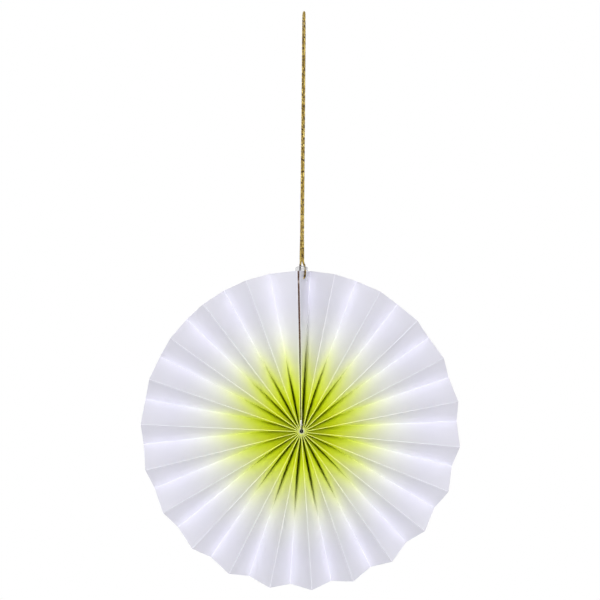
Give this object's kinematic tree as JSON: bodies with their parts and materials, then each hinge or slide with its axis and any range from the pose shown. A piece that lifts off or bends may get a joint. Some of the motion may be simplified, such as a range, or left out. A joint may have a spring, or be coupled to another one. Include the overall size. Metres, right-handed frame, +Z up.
{
  "type": "paper fan rosette",
  "caption": "Round pleated paper fan with a coloured centre fading to white, closed at a card-edged joint and hung on a doubled gold cord loop",
  "frame": {"origin": "The point where a hook bears, inside the top of the cord loop", "axes": "+Z up along the hanging cord, +X to the right as the printed front is seen, +Y through the fan from its front to its back"},
  "size_m": [0.2498, 0.032, 0.4525],
  "materials": {
    "printed_paper": "matt white paper, lime print fading outwards from the centre",
    "brown_card": "raw brown board",
    "clear_plastic": "clear moulded plastic",
    "gold_cord": "twisted gold metallic yarn",
    "steel_wire": "bright thin wire"
  },
  "bodies": {
    "root": {"pleated_paper": "printed_paper", "end_card": "brown_card", "joint_clip": "clear_plastic", "hanging_cord": "gold_cord", "binding_wire": "steel_wire"}
  },
  "joints": []
}
